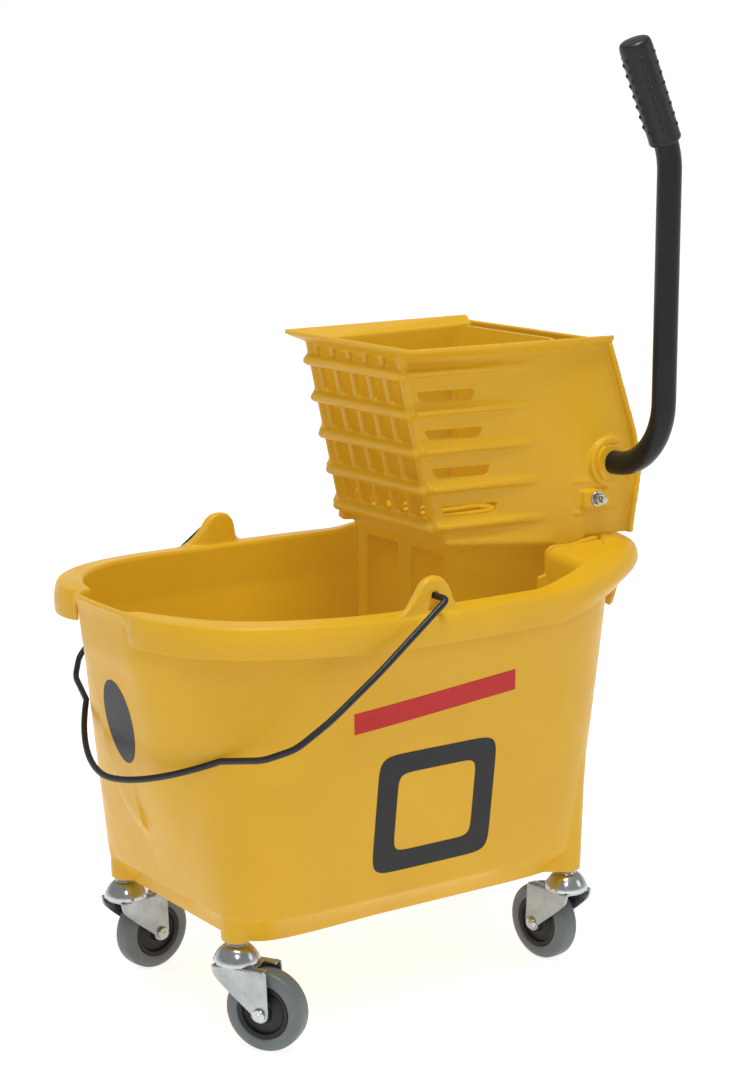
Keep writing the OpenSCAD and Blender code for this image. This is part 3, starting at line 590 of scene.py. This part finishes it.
def make_caster(c):
    x, y, heading, trail, axle_z = STEMS[c]
    place = Matrix.Translation((x, y, 0)) @ Matrix.Rotation(math.radians(heading), 4, "Z")
    wheel = place @ Matrix.Translation((trail, 0, axle_z)) @ TO_MINUS_Y
    # tyre: softly crowned tread with rounded shoulders
    half = TREAD_W / 2
    near = [(HUB_R, -half + 2.5), (HUB_R + 0.6, -half + 0.6), (HUB_R + 2.5, -half),
            (WHEEL_R - 5.5, -half + 0.3), (WHEEL_R - 0.5, -half + 3.4), (WHEEL_R, -0.8)]
    prof = soften(near + [(r, -w) for r, w in reversed(near)],
                  [0, 0.8, 1, 4, 2.4, 2, 2, 2.4, 4, 1, 0.8, 0], 4)
    tyre = revolve(f"tyre_{c}_tread", [tuple(p) for p in prof], wheel, 96)
    piece(tyre, f"wheel_{c}", M_TREAD, [f"tyre_{c}"], 40)
    # wheel centre: hub, thin web and the band under the tyre
    near = [(4.1, -14), (8.5, -14), (9.5, -9), (19.5, -6.5), (21, -10.2), (HUB_R - 0.1, -10.6)]
    prof = soften(near + [(r, -w) for r, w in reversed(near)],
                  [0, 0.8, 2, 2, 1, 0.8, 0.8, 1, 2, 2, 0.8, 0], 3)
    hub = revolve(f"hub_{c}_centre", [tuple(p) for p in prof], wheel, 72)
    piece(hub, f"wheel_{c}", M_HUB, [f"hub_{c}"], 40)
    # stamped fork: crown plate and two legs in one bent sheet, with a small tab
    crown_top = CROWN_Z + CROWN_T
    leg = soften([(trail - 8.6, axle_z), (trail - 7.6, axle_z - 5.0), (trail, axle_z - 8.8),
                  (trail + 7.6, axle_z - 5.0), (trail + 8.6, axle_z + 1), (37.5, 66), (36.5, crown_top),
                  (-18.0, crown_top), (-16.5, 70), (-4, 58), (trail - 8.6, axle_z)],
                 [0, 4, 4, 4, 3, 4, 2.5, 2, 5, 10, 0], 4)
    cheeks = []
    for s in (-1, 1):
        at = place @ Matrix.Translation((0, s * (LEG_GAP + LEG_T / 2) + LEG_T / 2, 0)) @ TO_MINUS_Y
        cheeks.append(prism("leg", [tuple(p) for p in leg][:-1], LEG_T, at))
    disc = [(5.6, CROWN_Z), (18.6, CROWN_Z), (18.6, crown_top), (5.6, crown_top)]
    crown = revolve("crown", disc, place, 64)
    plate = box("plate", (-16.5, -AXLE_HALF, CROWN_Z), (23, AXLE_HALF, crown_top), place)
    tabs = [box("tab", (22, a, CROWN_Z), (34.5, b, crown_top), place)
            for a, b in ((-AXLE_HALF, -8.5), (8.5, AXLE_HALF))]
    for o in cheeks + tabs + [plate]:
        bev = o.modifiers.new("bevel", "BEVEL")
        bev.width, bev.segments, bev.limit_method = 0.7 * MM, 3, "ANGLE"
        baked(o)
    fork = join(f"fork_{c}_sheet", cheeks + tabs + [crown, plate])
    piece(fork, f"swivel_{c}", M_ZINC, [f"fork_{c}"], 40)
    # domed cap and the neck of the stem
    low = crown_top + 0.3
    dome = [(0.1, low + 6), (16.5, low + 5.2), (19.8, low + 4.5), (19.8, low), (21.2, low - 0.1),
            (21.5, low + 2.0)]
    dome += [(lerp(21.3, 9.5, q), low + 2.4 + (CUP_Z - low - 3.2) * math.sin(math.pi / 2 * q) ** 0.8)
             for q in np.linspace(0.08, 1, 12)]
    dome += [(8.6, CUP_Z + 0.6), (8.0, CUP_Z + 1.6), (8.0, BASE_Z + 0.6), (0.1, BASE_Z + 0.6)]
    cap = revolve(f"cap_{c}_dome", dome, place, 72)
    rivet = [(0.1, -3.2), (7.6, -3.2), (8.5, -2.6), (8.5, -0.3), (0.1, -0.3)]
    lower = revolve("lower", [(r, CROWN_Z + h) for r, h in rivet], place, 40)
    stem = join(f"cap_{c}_dome", [cap, lower])
    piece(stem, "bucket", M_CHROME, [f"stem_{c}"], 40)
    # axle: riveted head on one side, nut on the other
    head = [(0.05, 4.2), (2.0, 4.2), (2.4, 3.4), (4.4, 3.2), (6.2, 1.6), (6.5, 0), (4.0, 0)]
    nut = [(4.0, 0), (6.2, 0), (6.2, 2.4), (5.4, 3.2), (2.4, 3.4), (2.0, 4.0), (0.05, 4.0)]
    prof = [(r, -AXLE_HALF - h) for r, h in head] + [(r, AXLE_HALF + h) for r, h in nut]
    axle = revolve(f"axle_{c}_rivet", prof, wheel, 48)
    piece(axle, f"swivel_{c}", M_CHROME, [f"axle_{c}"], 40)


for c in STEMS:
    make_caster(c)

# ---------------------------------------------------------------- wringer
M_SET = {"yellow_plastic": M_YELLOW, "zinc_steel": M_CHROME, "black_plastic": M_HUB, "black_paint": M_PAINT,
         "black_rubber": M_RUBBER, "black_wire": M_WIRE, "grey_tread": M_TREAD}
shaft_at = Vector(JOINTS["lever_swing"]["pos_m"]) / MM
FRONT_X, FRONT_Z, FLOOR_Z = 15, 611, 442
FRONT_RUN, ROW_PITCH, FIN_PITCH = 40, 36.5, 27.6
SLOPE = math.atan(FRONT_RUN / (FRONT_Z - FLOOR_Z))


def copy_of(node):
    """A welded copy of a CAD node's mesh, to build on."""
    src = frame["nodes"][node]
    mesh = src.data.copy()
    obj = bpy.data.objects.new(node + "_copy", mesh)
    bpy.context.scene.collection.objects.link(obj)
    bm = bmesh.new()
    bm.from_mesh(mesh)
    bmesh.ops.remove_doubles(bm, verts=bm.verts, dist=2e-5)
    bm.to_mesh(mesh)
    bm.free()
    return obj


def on_side(side, x, off=0.0, z=0.0):
    """A point on the splayed side wall's outer face."""
    return Vector((x, side * (side_y(x) + off), z))


def make_wringer():
    """The CAD's wringer with posts, ledges, slot rims, bars and fins melted into it."""
    parts = [copy_of("wringer_body")]
    for side in (-1, 1):
        # front corner post
        y = side * (BASKET_HALF - 1)
        parts.append(tube("post", [(FRONT_X + 1, y, FRONT_Z), (FRONT_X + 41, y, FLOOR_Z - 4)], 4.6, 20))
        # ribs that leave the corner as overhanging ledges and fade into the side wall
        for i in range(5):
            z, x0 = 593.5 - ROW_PITCH * i, FRONT_X + 8.7 * i
            rings = []
            for q in np.linspace(0, 1, 16):
                x, k = x0 + (138 - 6 * i) * q, (1 - q) ** 0.8
                out, tall = 0.8 + 4.4 * k, 1.2 + 5.0 * k
                mid = on_side(side, x, 0, z + 2.5 * q)
                rings.append([mid + Vector((0, side * dy, dz)) for dy, dz in
                              ((-3, 1.9 * tall), (0, 1.6 * tall), (0.62 * out, 0.8 * tall),
                               (out, -0.1 * tall), (0.94 * out, -0.55 * tall), (0.5 * out, -0.8 * tall),
                               (-3, -0.8 * tall))])
            parts.append(rings_mesh("rib", rings))
        # raised rims of the slots
        for i in range(4):
            z, x0 = 573 - ROW_PITCH * i, 30 + 8.5 * i
            ring = [(-1.5, 4), (63.5, 4), (60, -8), (6, -8)]
            ring = [Vector((x0 + a, 0, z + b)) for a, b in [(31, 4)] + ring[1:] + [ring[0], (31, 4)]]
            ring = rounded_path(ring, [0, 3, 3, 3, 3, 0], 4)[:-1]
            parts.append(tube("lip", [on_side(side, p.x, -1.0, p.z) for p in ring], 1.7, 10, closed=True))
        # flared lower edge
        pts = [(58, 433), (90, 430), (130, 427), (176, 424)]
        rings = []
        for x, z in pts:
            w = lerp(7.0, 1.5, (x - 58) / 118)
            base = on_side(side, x, -3.5, z)
            rings.append([base + Vector((0, side * dy, dz))
                          for dy, dz in ((0, 16), (3.6, 14), (3.6 + w, 1.5), (3.6 + w, -2.5), (0, -5))])
        parts.append(rings_mesh("flare", rings))
        # small moulded lines round the anchor
        for z, x1, x2 in ((479, 196, 252), (448.5, 200, 246)):
            parts.append(tube("line", [on_side(side, x1, 0, z), on_side(side, x2, 0, z)], 1.3, 8))
    # broad bars across the front wall, and deep fins between its windows
    rows = ROW_PITCH / math.cos(SLOPE)
    place = Matrix.Translation((FRONT_X, 0, FRONT_Z)) @ Matrix.Rotation(-SLOPE, 4, "Y")
    for i in range(5):
        half = BASKET_HALF + 4
        mid = place @ Matrix.Translation((-3.5, 0, -19.5 - rows * i))
        rings = []
        for y in (-half, -half + 2, half - 2, half):
            k = 0.8 if abs(y) == half else 1.0
            rings.append([mid @ Vector((4.6 * k * math.cos(a) * 1.3, y, 5.2 * k * math.sin(a)))
                          for a in np.linspace(0, 2 * math.pi, 20, endpoint=False)])
        parts.append(rings_mesh("bar", rings))
    for i in range(6):
        y = FIN_PITCH * (i - 2.5)
        parts.append(box("fin", (1, y - 2, -158), (16, y + 2, -10), place))
    obj = join("wringer_moulding", parts)
    return moulded(obj, 1.3, 3, 190000)


wringer = make_wringer()
piece(wringer, "wringer", M_YELLOW, ["wringer_body"], 60)

# ---------------------------------------------------------------- grip with rows of round nubs
grip_low, grip_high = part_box("grip")


def make_grip():
    """The closed sleeve on the lever's end, with nine rows of round nubs."""
    lean, bend_r, bend_z, length = math.radians(24.5), 70, 775, 98
    lever_y = -(grip_low.y + grip_high.y) / 2 / MM
    place = (Matrix.Translation((shaft_at.x - bend_r, -lever_y, bend_z)) @ Matrix.Rotation(-lean, 4, "Y")
             @ Matrix.Translation((bend_r, 0, 0)))
    prof = soften([(11.7, -2.2), (14.2, -2.2), (15.4, 0.6), (15.0, 2.6), (15.3, length - 7),
                   (13.8, length - 1.2), (0.05, length)], [0, 1.2, 1.5, 2, 5, 3, 0], 4)
    prof += [np.array((0.05, length - 5)), np.array((11.7, length - 5))]
    parts = [revolve("body", [tuple(p) for p in prof], place, 72)]
    for row in range(12):
        if row % 4 == 3:
            continue
        a = 2 * math.pi * row / 12
        for k in range(8):
            h = 13 + 10.0 * k + (5.0 if row % 2 else 0)
            if h > length - 12:
                continue
            at = place @ Matrix.Rotation(a, 4, "Z") @ Matrix.Translation((14.8, 0, h)) @ TO_X
            cap = [(2.3 * math.cos(q), 1.9 * math.sin(q)) for q in np.linspace(0, math.pi / 2, 5)]
            parts.append(revolve("nub", [(0.01, -0.5), (2.3, -0.5)] + cap[:-1] + [(0.01, 1.9)], at, 14))
    return join("grip_nubbed", parts)


piece(make_grip(), "lever", M_RUBBER, ["grip"], 50)

# ---------------------------------------------------------------- CAD nodes that stay: soft edges, materials
SLOT_OF = {s["node"]: s["material_slot"] for s in frame["record"]["subparts"]}
for name, node in frame["nodes"].items():
    if node.hide_render:
        continue
    mesh = node.data
    mesh.materials.clear()
    mesh.materials.append(M_SET[SLOT_OF[name]])
    if name in ("press_plate", "bush_near", "bush_far", "sectors", "racks", "anchor_nuts", "anchor_washers",
                "anchor_bolts"):
        weld = node.modifiers.new("weld", "WELD")
        weld.merge_threshold = 2e-5
        bev = node.modifiers.new("edge", "BEVEL")
        bev.width, bev.segments, bev.limit_method = (1.0 if name == "press_plate" else 0.5) * MM, 3, "ANGLE"
        bev.angle_limit = math.radians(35)

# ---------------------------------------------------------------- printed shapes, plain and without words
FILM_OUT, FILM_IN = 0.35, 0.8


def end_wall(t, z, off):
    """Point on the bucket's wall at angle t and height z, moved out by off."""
    r = wall_r(z, t) + off
    return (r * math.cos(math.radians(t)), r * math.sin(math.radians(t)), z)


def near_wall(x, z, off):
    """Point on the bucket's near wall at x and z, moved out by off."""
    low, high = 180.0, 360.0
    for _ in range(40):
        t = (low + high) / 2
        if wall_r(z, t) * math.cos(math.radians(t)) < x:
            low = t
        else:
            high = t
    return end_wall(t, z, off)


def print_shape(name, rows, mat, at=near_wall, closed=False):
    """A film on the bucket's wall, from rows of points across the shape, one after another along it."""
    rings = [[at(u, z, FILM_OUT) for u, z in row] + [at(u, z, -FILM_IN) for u, z in reversed(row)]
             for row in rows]
    return piece(rings_mesh(name, rings, closed=closed), "bucket", mat, (), 60)


def bar_rows(a, b, width, n, m):
    """Rows across a straight bar from a to b."""
    a, b = np.array(a, float), np.array(b, float)
    d = (b - a) / np.linalg.norm(b - a)
    side = np.array((-d[1], d[0]))
    return [[tuple(lerp(a, b, i / n) + side * width * (j / m - 0.5)) for j in range(m + 1)]
            for i in range(n + 1)]


def ring_rows(mid, half, hollow, power, n):
    """Rows across a rounded ring, its hollow being a share of its half sizes."""
    rows = []
    for a in np.linspace(0, 2 * math.pi, n, endpoint=False):
        c, q = math.cos(a), math.sin(a)
        u, v = math.copysign(abs(c) ** power, c), math.copysign(abs(q) ** power, q)
        rows.append([(mid[0] + half[0] * u * k, mid[1] + half[1] * v * k) for k in np.linspace(1, hollow, 5)])
    return rows


# without words or figures: a red band, a dark frame under it and a dark oval on the pouring end
print_shape("print_band", bar_rows((-95, 299), (82, 315), 20, 40, 4), M_RED)
print_shape("print_frame", ring_rows((1, 205), (66, 58), 0.66, 0.22, 120), M_BLACK, closed=True)
print_shape("print_oval", ring_rows((178.5, 286), (6.0, 40), 0.02, 1.0, 64), M_BLACK, end_wall, True)

# ---------------------------------------------------------------- camera, lights and floor
AIM_AZ, AIM_DOWN, FOCAL_PX, LONG_PX = 34.8, 11.5, 2343.0, 1088
camera = bpy.data.cameras.new("camera")
camera.sensor_width = 36
camera.lens = FOCAL_PX * camera.sensor_width / LONG_PX
camera.clip_end = 50
eye = bpy.data.objects.new("camera", camera)
eye.location = (-1.2191, -1.8133, 0.8685)
eye.rotation_euler = (math.radians(90 - AIM_DOWN), 0, math.radians(-AIM_AZ))
bpy.context.scene.collection.objects.link(eye)
bpy.context.scene.camera = eye


def soft_light(name, place, size, power):
    """A round white area light aimed at the middle of the object."""
    data = bpy.data.lights.new(name, "AREA")
    data.shape, data.size, data.energy = "DISK", size, power
    obj = bpy.data.objects.new(name, data)
    obj.location = place
    middle = (cad_low + cad_high) / 2
    obj.rotation_euler = (middle - Vector(place)).to_track_quat("-Z", "Y").to_euler()
    bpy.context.scene.collection.objects.link(obj)


soft_light("key", (-1.2, -1.9, 2.6), 0.7, 9)
soft_light("fill", (1.9, -1.6, 1.4), 1.0, 3)
soft_light("top", (-0.3, -0.5, 2.6), 0.8, 52)

floor = new_object("floor", [(-60, -60, 0), (60, -60, 0), (60, 60, 0), (-60, 60, 0)], [(0, 1, 2, 3)], 1.0)
floor.data.materials.append(M_FLOOR)
glow = M_FLOOR.node_tree.nodes["Principled BSDF"]
glow.inputs["Emission Color"].default_value = (1, 1, 1, 1)
glow.inputs["Emission Strength"].default_value = 0.78
world = bpy.data.worlds.new("world")
bpy.context.scene.world = world
world.use_nodes = True
sky = world.node_tree.nodes
where = sky.new("ShaderNodeTexCoord")
split = sky.new("ShaderNodeSeparateXYZ")
fade = sky.new("ShaderNodeValToRGB")
fade.color_ramp.elements[0].position, fade.color_ramp.elements[0].color = 0.06, (1, 1, 1, 1)
fade.color_ramp.elements[1].position, fade.color_ramp.elements[1].color = 0.32, (0.42, 0.42, 0.43, 1)
world.node_tree.links.new(where.outputs["Generated"], split.inputs["Vector"])
world.node_tree.links.new(split.outputs["Z"], fade.inputs["Fac"])
world.node_tree.links.new(fade.outputs["Color"], sky["Background"].inputs["Color"])
sky["Background"].inputs["Strength"].default_value = 1.01
bpy.context.scene.view_settings.view_transform = "Standard"
